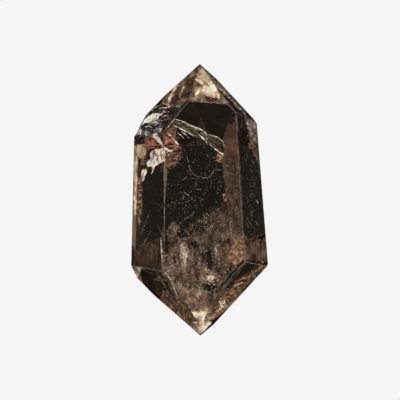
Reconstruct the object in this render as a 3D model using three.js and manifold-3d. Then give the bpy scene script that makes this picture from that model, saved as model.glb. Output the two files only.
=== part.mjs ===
// Smoky quartz crystal: one natural crystal with a point at each end, lying on a prism face.
// Millimetres, +Z up. +Y runs along the crystal to its upper point and +X to the right, seen
// from above. The origin is on the resting face, below the middle of the crystal's outline.

import * as THREE from "three";
import { ConvexGeometry } from "three/addons/geometries/ConvexGeometry.js";
import { mergeVertices } from "three/addons/utils/BufferGeometryUtils.js";
import Module from "manifold-3d";

// Thickness from the resting face up to the face on top, which lies level with it.
const THICKNESS = 29.7;

// The flat faces. around: the way a face looks, in degrees round the long axis from straight
// up, 90 being to the right. lean: its turn toward the upper point, or the lower one if it is
// negative. out: its distance from the middle of the crystal.
const PRISM_FACES = [
  { around: 0, lean: 0, out: THICKNESS / 2 },
  { around: 180, lean: 0, out: THICKNESS / 2 },
  { around: 65.5, lean: 3.2, out: 15.75 },
  { around: -64.7, lean: -0.2, out: 14.7 },
  { around: 120.2, lean: 5.2, out: 13.55 },
  { around: -127.4, lean: 3.3, out: 16.4 },
];
const CHIPPED_FACE = { around: -66.1, lean: 36.6, out: 22.2 };
const UPPER_POINT_FACES = [
  CHIPPED_FACE,
  { around: 5.3, lean: 49.8, out: 28.95 },
  { around: 75, lean: 42.8, out: 24.8 },
  { around: 180, lean: 38.9, out: 20.75 },
  { around: -147.7, lean: 40.2, out: 24.55 },
  { around: 103.8, lean: 40.6, out: 24.25 },
];
const LOWER_POINT_FACES = [
  { around: -66.6, lean: -35.8, out: 22.45 },
  { around: 60, lean: -36.7, out: 23.45 },
  { around: -9.1, lean: -38, out: 25.95 },
  { around: 172, lean: -38.9, out: 18.4 },
  { around: 115.4, lean: -41.6, out: 23.1 },
  { around: -114.7, lean: -48.2, out: 27.8 },
  { around: -96.2, lean: -21.3, out: 23.85 },
];

// Where three faces meet closer than this to a fourth, the corner counts as on it.
const CORNER_TOLERANCE = 1e-4;
// Three faces nearer to parallel than this have no corner worth keeping.
const SMALLEST_CORNER = 1e-3;

// The chip on the left shoulder: shallow shell-shaped scallops, each bitten out of the chipped
// face at a point on it. wide: the radius of its curve. deep: how far it bites in. Faint
// ripples run through them all, spreading from the corner that was struck.
const SCALLOPS = [
  { at: [-7.3, 22.6, 25.1], wide: 9, deep: 1.0 },
  { at: [-9.7, 20.9, 23.0], wide: 11, deep: 1.7 },
  { at: [-11.6, 20.4, 19.7], wide: 8, deep: 1.6 },
  { at: [-13.0, 22.0, 13.3], wide: 9, deep: 0.9 },
  { at: [-15.4, 18.8, 13.8], wide: 6, deep: 0.9 },
];
const SCALLOP_DETAIL = 15;
const STRUCK_CORNER = [-9.3, 17.8, 29.5];
const RIPPLE_DEPTH = 0.003;
const RIPPLES = 40;

// A plane that faces out, from a face's angles and its distance.
function facePlane({ around, lean, out }) {
  const turn = THREE.MathUtils.degToRad(around);
  const tilt = THREE.MathUtils.degToRad(lean);
  const normal = new THREE.Vector3(
    Math.sin(turn) * Math.cos(tilt),
    Math.sin(tilt),
    Math.cos(turn) * Math.cos(tilt),
  );
  return new THREE.Plane(normal, -out);
}

// The point where three planes cross, or null if they run too nearly parallel.
function meetingPoint(a, b, c) {
  const bc = b.normal.clone().cross(c.normal);
  const ca = c.normal.clone().cross(a.normal);
  const ab = a.normal.clone().cross(b.normal);
  const volume = a.normal.dot(bc);
  if (Math.abs(volume) < SMALLEST_CORNER) return null;
  return bc
    .multiplyScalar(-a.constant)
    .addScaledVector(ca, -b.constant)
    .addScaledVector(ab, -c.constant)
    .divideScalar(volume);
}

// Every corner of the crystal: the crossings that lie on no face's outer side.
function crystalCorners(planes) {
  const corners = [];
  for (let i = 0; i < planes.length; i += 1) {
    for (let j = i + 1; j < planes.length; j += 1) {
      for (let k = j + 1; k < planes.length; k += 1) {
        const point = meetingPoint(planes[i], planes[j], planes[k]);
        if (point === null) continue;
        if (planes.some((plane) => plane.distanceToPoint(point) > CORNER_TOLERANCE)) continue;
        if (corners.some((corner) => corner.distanceTo(point) < CORNER_TOLERANCE)) continue;
        corners.push(point);
      }
    }
  }
  return corners;
}

// The unbroken crystal, with the middle of its thickness lifted off the resting face.
function wholeCrystal() {
  const faces = [...PRISM_FACES, ...UPPER_POINT_FACES, ...LOWER_POINT_FACES];
  const corners = crystalCorners(faces.map(facePlane));
  const geometry = new ConvexGeometry(corners);
  geometry.translate(0, 0, THICKNESS / 2);
  return geometry;
}

// A rippled ball that bites a scallop out of the chipped face.
function scallop({ at, wide, deep }) {
  const middle = facePlane(CHIPPED_FACE).normal.multiplyScalar(wide - deep);
  middle.add(new THREE.Vector3(...at));
  const struck = new THREE.Vector3(...STRUCK_CORNER).sub(middle);
  const geometry = new THREE.IcosahedronGeometry(1, SCALLOP_DETAIL);
  const points = geometry.attributes.position;
  const point = new THREE.Vector3();
  for (let i = 0; i < points.count; i += 1) {
    point.fromBufferAttribute(points, i);
    const ripple = Math.cos(RIPPLES * point.angleTo(struck));
    point.multiplyScalar(wide * (1 + RIPPLE_DEPTH * ripple)).add(middle);
    points.setXYZ(i, point.x, point.y, point.z);
  }
  return geometry;
}

const wasm = await Module();
wasm.setup();

function toSolid(geometry) {
  const bare = geometry.clone();
  bare.deleteAttribute("normal");
  bare.deleteAttribute("uv");
  const merged = mergeVertices(bare, CORNER_TOLERANCE);
  return new wasm.Manifold(new wasm.Mesh({
    numProp: 3,
    vertProperties: new Float32Array(merged.attributes.position.array),
    triVerts: new Uint32Array(merged.index.array),
  }));
}

function toGeometry(solid) {
  const mesh = solid.getMesh();
  const geometry = new THREE.BufferGeometry();
  geometry.setAttribute("position", new THREE.BufferAttribute(mesh.vertProperties, 3));
  geometry.setIndex(new THREE.BufferAttribute(mesh.triVerts, 1));
  geometry.computeVertexNormals();
  return geometry;
}

// Smoky quartz: brown, glassy and clear.
const smokyQuartz = new THREE.MeshStandardMaterial({
  color: 0x4a3a2c,
  roughness: 0.05,
  metalness: 0,
  transparent: true,
  opacity: 0.6,
});

function makeCrystal() {
  const broken = SCALLOPS.reduce(
    (solid, shape) => solid.subtract(toSolid(scallop(shape))),
    toSolid(wholeCrystal()),
  );
  const crystal = new THREE.Mesh(toGeometry(broken), smokyQuartz);
  crystal.name = "crystal";
  return crystal;
}

const part = new THREE.Group();
part.add(makeCrystal());

export default part;
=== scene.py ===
# Smoky quartz crystal with a point at each end, lying on a prism face and seen from above.
# Metres, in the solid model's frame: +Y to the upper point, +X right, +Z up toward the camera.

import math

import bmesh
import bpy
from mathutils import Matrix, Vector, noise
from mathutils.bvhtree import BVHTree


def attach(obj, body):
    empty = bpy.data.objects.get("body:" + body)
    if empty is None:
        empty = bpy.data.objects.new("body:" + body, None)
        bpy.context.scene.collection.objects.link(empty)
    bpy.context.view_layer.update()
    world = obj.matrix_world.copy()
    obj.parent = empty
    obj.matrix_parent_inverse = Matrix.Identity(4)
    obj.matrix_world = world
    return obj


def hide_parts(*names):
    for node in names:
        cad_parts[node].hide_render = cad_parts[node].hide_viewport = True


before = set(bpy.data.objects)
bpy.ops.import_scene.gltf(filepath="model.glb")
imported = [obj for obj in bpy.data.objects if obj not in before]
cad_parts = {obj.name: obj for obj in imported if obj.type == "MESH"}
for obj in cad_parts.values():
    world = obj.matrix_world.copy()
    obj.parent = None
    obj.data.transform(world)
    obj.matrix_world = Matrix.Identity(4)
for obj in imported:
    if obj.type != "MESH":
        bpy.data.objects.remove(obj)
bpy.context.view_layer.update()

# The camera looks straight down on the crystal from well above, with a long lens, so that the
# top face shows square on and the two points lie level.
MM = 0.001
CAMERA_LENS = 200
CAMERA_SENSOR = 36
VIEW_WIDTH = 106 * MM
FOCUS_HEIGHT = 14.6 * MM
EYE = Vector((0, 0, FOCUS_HEIGHT + VIEW_WIDTH * CAMERA_LENS / CAMERA_SENSOR))

scene = bpy.context.scene
camera_data = bpy.data.cameras.new("camera")
camera_data.lens = CAMERA_LENS
camera_data.sensor_width = CAMERA_SENSOR
camera = bpy.data.objects.new("camera", camera_data)
camera.location = EYE
scene.collection.objects.link(camera)
scene.camera = camera

# The crystal: one piece of clear brown quartz, grown with flat faces and a point at each end.
# Its faces are the solid's own. The arrises are worn to a hair's breadth of round, with a faint
# painted highlight given off along them, and the chip on the left shoulder has the fine stepped
# skin of broken glass.
MERGE_DISTANCE = 0.0005 * MM
FLAT_ANGLE = math.radians(0.3)
QUARTZ_IOR = 1.544
SMOKE_COLOUR = (0.70, 0.55, 0.42, 1)
SMOKE_DENSITY = 45
ARRIS_ANGLE = math.radians(16)
ARRIS_WIDTH = 0.07 * MM
ARRIS_SHORTEST = 1.2 * MM
ARRIS_STEPS = 2
ARRIS_ROUND = 0.6
ARRIS_COLOUR = (0.70, 0.64, 0.58, 1)
ARRIS_ROUGHNESS = 0.35
ARRIS_PAINTED_GLOW = 0.12
GLEAM_DARK = (0.05, 0.04, 0.03, 1)
GLEAM_PALE = (0.80, 0.74, 0.66, 1)
WEAR_GRAIN = 1.2 * MM
WEAR_DETAIL = 4
WEAR_STARTS = 0.40
GLEAM_STARTS = 0.46
WEAR_AND_GLEAM_FULL = 0.62
WORN_CLEARNESS = 0.3
CHIP_MIDDLE = Vector((-11, 21, 19)) * MM
CHIP_REACH = 13 * MM
CHIP_FACET = 3 * MM**2
BREAK_ROUGHNESS = 0.18
FROST_GRAIN = 1.8 * MM
FROST_DETAIL = 6
FROST_TWIST = 0.25
FROST_STARTS = 0.6
FROST_FULL = 0.78
FROST_COLOUR = (0.75, 0.72, 0.70, 1)
FROST_CLEARNESS = 0.5
WHITE = (1, 1, 1, 1)

def new_material(name):
    material = bpy.data.materials.new(name)
    material.use_nodes = True
    return material, material.node_tree, material.node_tree.nodes["Principled BSDF"]

def add_piece(name, mesh, material):
    mesh.materials.append(material)
    piece = bpy.data.objects.new(name, mesh)
    scene.collection.objects.link(piece)
    return piece

quartz, quartz_tree, quartz_shader = new_material("smoky_quartz")
quartz_shader.inputs["Base Color"].default_value = WHITE
quartz_shader.inputs["Roughness"].default_value = 0
quartz_shader.inputs["IOR"].default_value = QUARTZ_IOR
quartz_shader.inputs["Transmission Weight"].default_value = 1
smoke = quartz_tree.nodes.new("ShaderNodeVolumeAbsorption")
smoke.inputs["Color"].default_value = SMOKE_COLOUR
smoke.inputs["Density"].default_value = SMOKE_DENSITY
quartz_output = quartz_tree.nodes["Material Output"]
quartz_tree.links.new(smoke.outputs["Volume"], quartz_output.inputs["Volume"])

crystal_mesh = bpy.data.meshes.new("quartz_crystal")
faces = bmesh.new()
faces.from_mesh(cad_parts["crystal"].data)
bmesh.ops.remove_doubles(faces, verts=faces.verts, dist=MERGE_DISTANCE)
surface = BVHTree.FromBMesh(faces)
bmesh.ops.dissolve_limit(faces, angle_limit=FLAT_ANGLE, verts=faces.verts, edges=faces.edges)
arrises = []
for edge in faces.edges:
    if edge.calc_face_angle(0) > ARRIS_ANGLE and edge.calc_length() > ARRIS_SHORTEST:
        arrises.append(edge)
worn = bmesh.ops.bevel(
    faces, geom=arrises, offset=ARRIS_WIDTH, segments=ARRIS_STEPS, profile=ARRIS_ROUND,
    affect="EDGES", clamp_overlap=False,
)
for face in worn["faces"]:
    face.material_index = 1
for face in faces.faces:
    middle = face.calc_center_median()
    in_chip = (middle - CHIP_MIDDLE).length < CHIP_REACH
    if in_chip and face.material_index == 0 and face.calc_area() < CHIP_FACET:
        face.material_index = 2
faces.to_mesh(crystal_mesh)
faces.free()

arris, arris_tree, arris_shader = new_material("worn_arris")
arris_shader.inputs["Base Color"].default_value = ARRIS_COLOUR
arris_shader.inputs["Roughness"].default_value = ARRIS_ROUGHNESS
arris_shader.inputs["IOR"].default_value = QUARTZ_IOR
place = arris_tree.nodes.new("ShaderNodeTexCoord")
wear_and_gleam = arris_tree.nodes.new("ShaderNodeTexNoise")
wear_and_gleam.inputs["Scale"].default_value = 1 / WEAR_GRAIN
wear_and_gleam.inputs["Detail"].default_value = WEAR_DETAIL
arris_tree.links.new(place.outputs["Object"], wear_and_gleam.inputs["Vector"])
clear = arris_tree.nodes.new("ShaderNodeMapRange")
clear.inputs["From Min"].default_value = WEAR_STARTS
clear.inputs["From Max"].default_value = WEAR_AND_GLEAM_FULL
clear.inputs["To Min"].default_value = 1
clear.inputs["To Max"].default_value = WORN_CLEARNESS
arris_tree.links.new(wear_and_gleam.outputs["Fac"], clear.inputs["Value"])
arris_tree.links.new(clear.outputs[0], arris_shader.inputs["Transmission Weight"])
# The gleam is a painted highlight: faint pale emission where the wear noise is high, so the worn arrises
# shine without any lamp.
gleam = arris_tree.nodes.new("ShaderNodeValToRGB")
gleam.color_ramp.elements[0].position = GLEAM_STARTS
gleam.color_ramp.elements[0].color = GLEAM_DARK
gleam.color_ramp.elements[1].position = WEAR_AND_GLEAM_FULL
gleam.color_ramp.elements[1].color = GLEAM_PALE
arris_tree.links.new(wear_and_gleam.outputs["Fac"], gleam.inputs["Fac"])
arris_tree.links.new(gleam.outputs["Color"], arris_shader.inputs["Emission Color"])
arris_shader.inputs["Emission Strength"].default_value = ARRIS_PAINTED_GLOW

break_skin, skin_tree, skin_shader = new_material("fresh_break")
skin_shader.inputs["Roughness"].default_value = BREAK_ROUGHNESS
skin_shader.inputs["IOR"].default_value = QUARTZ_IOR
place = skin_tree.nodes.new("ShaderNodeTexCoord")
frost = skin_tree.nodes.new("ShaderNodeTexNoise")
frost.inputs["Scale"].default_value = 1 / FROST_GRAIN
frost.inputs["Detail"].default_value = FROST_DETAIL
frost.inputs["Distortion"].default_value = FROST_TWIST
skin_tree.links.new(place.outputs["Object"], frost.inputs["Vector"])
frost_shades = skin_tree.nodes.new("ShaderNodeValToRGB")
frost_shades.color_ramp.elements[0].position = FROST_STARTS
frost_shades.color_ramp.elements[0].color = WHITE
frost_shades.color_ramp.elements[1].position = FROST_FULL
frost_shades.color_ramp.elements[1].color = FROST_COLOUR
skin_tree.links.new(frost.outputs["Fac"], frost_shades.inputs["Fac"])
skin_tree.links.new(frost_shades.outputs["Color"], skin_shader.inputs["Base Color"])
clearness = skin_tree.nodes.new("ShaderNodeMapRange")
clearness.inputs["From Min"].default_value = FROST_STARTS
clearness.inputs["From Max"].default_value = FROST_FULL
clearness.inputs["To Min"].default_value = 1
clearness.inputs["To Max"].default_value = FROST_CLEARNESS
skin_tree.links.new(frost.outputs["Fac"], clearness.inputs["Value"])
skin_tree.links.new(clearness.outputs[0], skin_shader.inputs["Transmission Weight"])

crystal = add_piece("quartz_crystal", crystal_mesh, quartz)
crystal_mesh.materials.append(arris)
crystal_mesh.materials.append(break_skin)
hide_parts("crystal")
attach(crystal, "root")

# The stained crack: a fresh split behind the left arris, where iron has crept in. The air in it is
# given as painted reflection and sheen, silver and pearl, beside the rust. It is an open crack
# within the quartz, so it is a thin sheet, laid where it shows through the faces above it.

# Shades are given as screen colours, from 0 to 255, and the screen's own curve turns them into
# amounts of light.
SCREEN_FULL = 255
CURVE_START = 0.04045
CURVE_SLOPE = 12.92
CURVE_LIFT = 0.055
CURVE_POWER = 2.4

def srgb(red, green, blue):
    def linear(value):
        value /= SCREEN_FULL
        if value <= CURVE_START:
            return value / CURVE_SLOPE
        return ((value + CURVE_LIFT) / (1 + CURVE_LIFT)) ** CURVE_POWER
    return (linear(red), linear(green), linear(blue), 1)

JAG_LENGTH = 0.5
LONGEST_PULL = 4
SHEET_THICKNESS = 0.02 * MM
SHALLOWEST = 0.05
ROLL_PACE = 0.35
RIPPLE_PACE = 1.7
RIPPLE_SHARE = 0.25
STROKE_TAPER = 8

def inside(right, up, depth):
    sight = (Vector((right * MM, up * MM, FOCUS_HEIGHT)) - EYE).normalized()
    hit, normal, _, _ = surface.ray_cast(EYE, sight)
    if hit is None:
        return None
    slope = -sight.dot(normal)
    through = math.sqrt(1 - (1 - slope * slope) / QUARTZ_IOR**2)
    bent = sight / QUARTZ_IOR + (slope / QUARTZ_IOR - through) * normal
    return hit + bent * depth * MM

def roughen(outline, jag):
    rough = []
    for (ax, ay), (bx, by) in zip(outline, outline[1:] + outline[:1]):
        pieces = max(int(math.hypot(bx - ax, by - ay) / JAG_LENGTH), 1)
        for i in range(pieces):
            x = ax + (bx - ax) * i / pieces
            y = ay + (by - ay) * i / pieces
            across = jag * noise.noise(Vector((x, y, jag)) / JAG_LENGTH)
            along = jag * noise.noise(Vector((y, x, -jag)) / JAG_LENGTH)
            rough.append((x + across, y + along))
    return rough

def edge_distance(x, y, outline):
    nearest = math.inf
    for i, (ax, ay) in enumerate(outline):
        bx, by = outline[i - 1]
        along = ((x - ax) * (bx - ax) + (y - ay) * (by - ay)) / ((bx - ax) ** 2 + (by - ay) ** 2)
        along = min(max(along, 0), 1)
        nearest = min(nearest, math.hypot(x - ax - along * (bx - ax), y - ay - along * (by - ay)))
    return nearest

def settle(piece):
    piece.visible_glossy = False
    piece.visible_shadow = False
    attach(piece, "root")

# Patches of thin sheet, each an outline in millimetres right and up of the middle, as it shows
# from above. depth and wave: how far in they lie and how much they roll. feather: the width
# over which they thin out at the edge. Faces pulled long across an arris are left out.
def sheet_mesh(name, patches, depth, wave=0, feather=0, step=0.6, jag=0.3, thick=SHEET_THICKNESS):
    shape = bmesh.new()
    for outline in patches:
        outline = roughen(outline, jag)
        part = bmesh.new()
        fade_layer = part.verts.layers.float.new("fade")
        part.faces.new([part.verts.new((x, y, 0)) for x, y in outline])
        bmesh.ops.triangulate(part, faces=part.faces)
        while True:
            long_edges = [edge for edge in part.edges if edge.calc_length() > step]
            if not long_edges:
                break
            bmesh.ops.subdivide_edges(part, edges=long_edges, cuts=1)
            bmesh.ops.triangulate(part, faces=part.faces)
        lost = []
        for vertex in part.verts:
            x, y = vertex.co.x, vertex.co.y
            roll = wave * noise.noise(Vector((x * ROLL_PACE, y * ROLL_PACE, depth)))
            ripple = noise.noise(Vector((x * RIPPLE_PACE, y * RIPPLE_PACE, depth)))
            roll += RIPPLE_SHARE * wave * ripple
            place = inside(x, y, max(depth + roll, SHALLOWEST))
            if place is None:
                lost.append(vertex)
                continue
            vertex.co = place
            vertex[fade_layer] = min(edge_distance(x, y, outline) / feather, 1) if feather else 1
        patch = bpy.data.meshes.new("patch")
        bmesh.ops.delete(part, geom=lost, context="VERTS")
        pulled = [edge for edge in part.edges if edge.calc_length() > LONGEST_PULL * step * MM]
        bmesh.ops.delete(part, geom=pulled, context="EDGES")
        part.normal_update()
        bmesh.ops.reverse_faces(part, faces=[face for face in part.faces if face.normal.z < 0])
        if thick:
            bmesh.ops.solidify(part, geom=list(part.faces), thickness=thick)
        part.to_mesh(patch)
        part.free()
        shape.from_mesh(patch)
        bpy.data.meshes.remove(patch)
    mesh = bpy.data.meshes.new(name)
    shape.to_mesh(mesh)
    shape.free()
    return mesh

def lay_sheet(name, patches, material, depth, **form):
    settle(add_piece(name, sheet_mesh(name, patches, depth, **form), material))

# A long thin patch along a line of points, full width in the middle and drawn out at its ends.
def stroke(width, *points):
    left, right = [], []
    for i, (x, y) in enumerate(points):
        before = points[max(i - 1, 0)]
        after = points[min(i + 1, len(points) - 1)]
        dx, dy = after[0] - before[0], after[1] - before[1]
        length = math.hypot(dx, dy)
        at_end = i in (0, len(points) - 1)
        half = width / STROKE_TAPER if at_end else width / 2
        left.append((x - dy / length * half, y + dx / length * half))
        right.append((x + dy / length * half, y - dx / length * half))
    return left + right[::-1]

# A flaw's finish: shades that drift through it, cover (how much of the sheet is there), and glow:
# painted light, the shades given off as emission in place of the light that it would scatter back
# from inside the stone.
SHADE_ROUGHNESS = 0.6
TEAR_PACE = 0.7
TEAR_DETAIL = 5
TEAR_ROUGHNESS = 0.65
TEAR_TWIST = 0.4
NOISE_MIDDLE = 0.5
FADE_REACH = 0.5
FLAW_SHINE = 0.2

def flaw_finish(
    name, shades, grain, cover, painted_glow, ragged=0.1, bleed=3, rough=0.3, stretch=(1, 1, 1), turn=0
):
    material, tree, shader = new_material(name)
    link = tree.links.new
    place = tree.nodes.new("ShaderNodeTexCoord")
    mapping = tree.nodes.new("ShaderNodeMapping")
    mapping.inputs["Rotation"].default_value = (0, 0, math.radians(turn))
    mapping.inputs["Scale"].default_value = stretch
    link(place.outputs["Object"], mapping.inputs["Vector"])
    drift = tree.nodes.new("ShaderNodeTexNoise")
    drift.inputs["Scale"].default_value = 1 / (grain * MM)
    drift.inputs["Detail"].default_value = bleed
    drift.inputs["Roughness"].default_value = SHADE_ROUGHNESS
    link(mapping.outputs["Vector"], drift.inputs["Vector"])
    ramp = tree.nodes.new("ShaderNodeValToRGB")
    link(drift.outputs["Fac"], ramp.inputs["Fac"])
    colours = ramp.color_ramp
    while len(colours.elements) < len(shades):
        colours.elements.new(NOISE_MIDDLE)
    for element, (position, colour) in zip(colours.elements, shades):
        element.position = position
        element.color = colour
    link(ramp.outputs["Color"], shader.inputs["Base Color"])
    # The shades are also given off as emission: painted light.
    link(ramp.outputs["Color"], shader.inputs["Emission Color"])
    shader.inputs["Emission Strength"].default_value = painted_glow
    shader.inputs["Roughness"].default_value = rough
    shader.inputs["Specular IOR Level"].default_value = FLAW_SHINE
    tears = tree.nodes.new("ShaderNodeTexNoise")
    tears.inputs["Scale"].default_value = TEAR_PACE / (grain * MM)
    tears.inputs["Detail"].default_value = TEAR_DETAIL
    tears.inputs["Roughness"].default_value = TEAR_ROUGHNESS
    tears.inputs["Distortion"].default_value = TEAR_TWIST
    link(mapping.outputs["Vector"], tears.inputs["Vector"])
    fade = tree.nodes.new("ShaderNodeAttribute")
    fade.attribute_name = "fade"
    lift = tree.nodes.new("ShaderNodeMath")
    lift.operation = "ADD"
    link(tears.outputs["Fac"], lift.inputs[0])
    push = tree.nodes.new("ShaderNodeMath")
    push.operation = "MULTIPLY_ADD"
    link(fade.outputs["Fac"], push.inputs[0])
    push.inputs[1].default_value = FADE_REACH
    push.inputs[2].default_value = cover - 1
    link(push.outputs[0], lift.inputs[1])
    edge = tree.nodes.new("ShaderNodeMapRange")
    edge.interpolation_type = "SMOOTHSTEP"
    edge.inputs["From Min"].default_value = NOISE_MIDDLE - ragged
    edge.inputs["From Max"].default_value = NOISE_MIDDLE + ragged
    link(lift.outputs[0], edge.inputs["Value"])
    link(edge.outputs[0], shader.inputs["Alpha"])
    return material

RUST = flaw_finish(
    "rust_stain",
    [(0.34, srgb(56, 22, 15)), (0.44, srgb(114, 54, 37)), (0.52, srgb(156, 90, 66)),
     (0.6, srgb(198, 148, 126)), (0.68, srgb(80, 42, 30))],
    grain=1.3, cover=0.95, painted_glow=0.75, stretch=(1, 2.2, 1), turn=-35, bleed=7,
)
lay_sheet(
    "stained_crack",
    [
        [(-9.5, 14.1), (-9.5, 16.7), (-8.4, 17.1), (-5.8, 14.6), (-4.7, 13.4), (-6.4, 13.3), (-8, 13.8)],
        [(-9.8, 14), (-11, 14), (-13.5, 13.4), (-14.1, 14.3), (-13.9, 16.2), (-13.2, 17.4),
         (-12.9, 17.4), (-11.9, 15.9), (-10.1, 14)],
    ],
    RUST, depth=0.8, wave=0.3,
)
CLAY = flaw_finish(
    "clay_stain",
    [(0.3, srgb(40, 26, 20)), (0.45, srgb(84, 58, 44)), (0.55, srgb(110, 82, 64)),
     (0.68, srgb(168, 138, 118))],
    grain=0.8, cover=0.86, painted_glow=0.8, bleed=8, ragged=0.06,
)
lay_sheet(
    "stained_fringe",
    [
        [(12.1, 19.1), (13, 18.3), (14, 17), (15.1, 14.3), (15.4, 9.5), (14.5, 11.4), (13.7, 13),
         (12.7, 14), (12.3, 16.4)],
        [(-14.2, 15.6), (-14, 13.5), (-14.3, 10.6), (-15, 8.5), (-15.9, 9.5), (-15.5, 12.7),
         (-14.8, 15.1)],
        [(-9.4, 13.5), (-6.9, 12.7), (-5, 13.2), (-4.8, 11.7), (-5.3, 10.3), (-7.7, 9), (-9.3, 7.4)],
        [(-9.5, 19.2), (-8.5, 19.3), (-7, 21.2), (-5.8, 19.2), (-6.4, 17.2), (-5.7, 15),
         (-8.4, 17.4), (-9.5, 16.7)],
    ],
    CLAY, depth=1.0, wave=0.4, feather=0.5,
)
SHADOW = flaw_finish(
    "crack_shadow",
    [(0.4, srgb(14, 8, 6)), (0.6, srgb(58, 24, 16))],
    grain=0.8, cover=1.0, painted_glow=0.3, bleed=4, ragged=0.1,
)
lay_sheet(
    "crack_shadows",
    [
        stroke(0.3, (-9.6, 13.9), (-11.4, 15.1), (-13.4, 17)),
        stroke(0.4, (-9.6, 13.9), (-11.9, 14.2), (-14.1, 14.2)),
        stroke(0.4, (-10.2, 17.2), (-9.9, 16.2), (-9.6, 14.6)),
        stroke(0.35, (-9.3, 14.3), (-7.7, 14.7), (-5.7, 14.5)),
        stroke(0.3, (-9.3, 14), (-7.2, 13.9), (-4.8, 13.4)),
        stroke(0.3, (-13, 12.7), (-12.2, 11.7), (-12.7, 10.6)),
        stroke(0.3, (-11.4, 12.2), (-11.1, 11.1), (-11.8, 10.3)),
        stroke(0.3, (-10.3, 13.5), (-10.4, 11.9), (-10.1, 10.3)),
        stroke(0.35, (-9, 11.7), (-7.4, 11.1), (-6.1, 12.2)),
        stroke(0.3, (-8.5, 9.8), (-7.4, 10.6), (-5.6, 10.6)),
    ],
    SHADOW, jag=0.1, depth=0.35, wave=0.05, step=0.4,
)
# Painted reflection: silver light where the air in the crack would shine.
SILVER_REFLECTION = flaw_finish(
    "crack_silver_reflection",
    [(0.38, srgb(120, 118, 108)), (0.48, srgb(214, 212, 198)), (0.56, srgb(250, 246, 236)),
     (0.64, srgb(196, 160, 140))],
    grain=0.7, cover=1.0, painted_glow=0.9, rough=0.1, bleed=5,
)
lay_sheet(
    "silver_crack",
    [
        [(-13, 17.5), (-11.3, 17.6), (-9.6, 14.4), (-10, 14)],
        [(-9.4, 14), (-8.5, 13.5), (-6.9, 13.3), (-7.2, 12.9), (-8.6, 12.8), (-9.4, 13.6)],
        [(-8.4, 17.4), (-8, 17.4), (-5.7, 14.9), (-5.9, 14.7)],
    ],
    SILVER_REFLECTION, depth=0.6, wave=0.2,
)
# Painted sheen: pearly, faintly coloured light off the thin film of air.
PEARL_SHEEN = flaw_finish(
    "crack_pearl_sheen",
    [
        (0.37, srgb(60, 66, 84)), (0.43, srgb(150, 130, 124)), (0.48, srgb(238, 214, 208)),
        (0.53, srgb(252, 248, 238)), (0.59, srgb(236, 218, 150)), (0.65, srgb(140, 110, 96)),
    ],
    grain=2.4, cover=0.97, painted_glow=0.85, rough=0.15, bleed=9, ragged=0.06, stretch=(1.3, 0.8, 0.6), turn=40,
)
lay_sheet(
    "pearly_crack",
    [
        [(-11.4, 13.6), (-9.7, 13.8), (-9.6, 10.6), (-10.6, 9.7), (-12.1, 9), (-13.7, 8.8),
         (-14.2, 9.8), (-13, 11.1), (-13.2, 12.6)],
        [(-12.7, 9), (-11.7, 9.7), (-12.2, 8), (-12.9, 6.8)],
        [(-15.5, 5), (-15.6, 6.9), (-15.1, 8.1), (-14.2, 8.3), (-13.9, 7.7), (-14.6, 6.4), (-14.8, 5.2)],
    ],
    PEARL_SHEEN, depth=0.7, wave=0.3,
)

# The broken shoulder: layers of shattered quartz close under the chip. Where they are empty they
# are painted shade, dark sheets; where they would scatter the light they are painted highlights,
# white or plum grey.
# Painted shade: near-black sheets under the chip and on the right shoulder, where there is only shade.
ROCK_SHADE = flaw_finish(
    "broken_rock",
    [(0.4, srgb(10, 6, 5)), (0.5, srgb(34, 24, 20)), (0.6, srgb(80, 62, 56))],
    grain=1.0, cover=1.1, painted_glow=0.7, bleed=8, ragged=0.05,
)
lay_sheet(
    "broken_rock",
    [
        [(-15.6, 19.6), (-15.4, 21.2), (-14, 22.7), (-12.6, 23.9), (-11, 25), (-9.8, 25.2),
         (-7.7, 25.2), (-5.4, 24.4), (-6.1, 22.5), (-6.9, 21.5), (-9.3, 18.7), (-12.7, 17.9),
         (-15.6, 18.6)],
        [(-10.9, 24.1), (-9, 24.5), (-7.7, 24.6), (-5.6, 23.8), (-6.2, 22.3), (-6.9, 21.5),
         (-7.3, 19.2), (-9.5, 18.9), (-11.1, 20.1), (-10.6, 21.7), (-11.4, 23.1)],
        [(-16, 19.5), (-14.8, 20.2), (-12.7, 20.2), (-12.5, 19.3), (-13.2, 18.3), (-15.8, 18.6)],
        [(-17.3, 17.2), (-14.6, 17.3), (-14.7, 14.9), (-17.4, 14.8)],
        [(-12.7, 20.1), (-11.1, 21.5), (-9.5, 19.1), (-9.6, 17.8), (-12.7, 18)],
        [(9.6, 23.3), (11.4, 23.6), (13, 21.3), (14.7, 20.3), (13.5, 18.6), (10.1, 19.1)],
    ],
    ROCK_SHADE, depth=0.5, wave=0.1, step=0.4,
)
# Painted highlights: plum grey light on the shattered layers.
PLUM_HIGHLIGHT = flaw_finish(
    "plum_rock",
    [(0.38, srgb(58, 44, 46)), (0.48, srgb(112, 94, 98)), (0.56, srgb(156, 138, 142)),
     (0.64, srgb(214, 200, 200))],
    grain=0.9, cover=0.92, painted_glow=0.75, bleed=8, ragged=0.04,
)
lay_sheet(
    "plum_rock",
    [
        stroke(0.8, (-10.5, 22.8), (-9.5, 23.5), (-8.3, 23.3)),
        stroke(0.5, (-10.2, 21.9), (-9.3, 22.4), (-8.1, 22.4)),
        stroke(0.9, (-12.8, 20.7), (-11.6, 21.3), (-10.1, 21)),
        stroke(0.6, (-12.4, 19.7), (-11.2, 20.4), (-10.1, 20.2)),
        stroke(0.5, (-11.7, 19.1), (-10.7, 19.6), (-9.8, 19.4)),
        [(-12.5, 18.7), (-11.3, 19), (-9.7, 18.4), (-10.4, 17.9), (-12.1, 18)],
        stroke(0.4, (-9.6, 21), (-8.7, 21.6), (-7.7, 21.7)),
    ],
    PLUM_HIGHLIGHT, jag=0.15, depth=0.35, wave=0.05, step=0.4,
)
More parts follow.
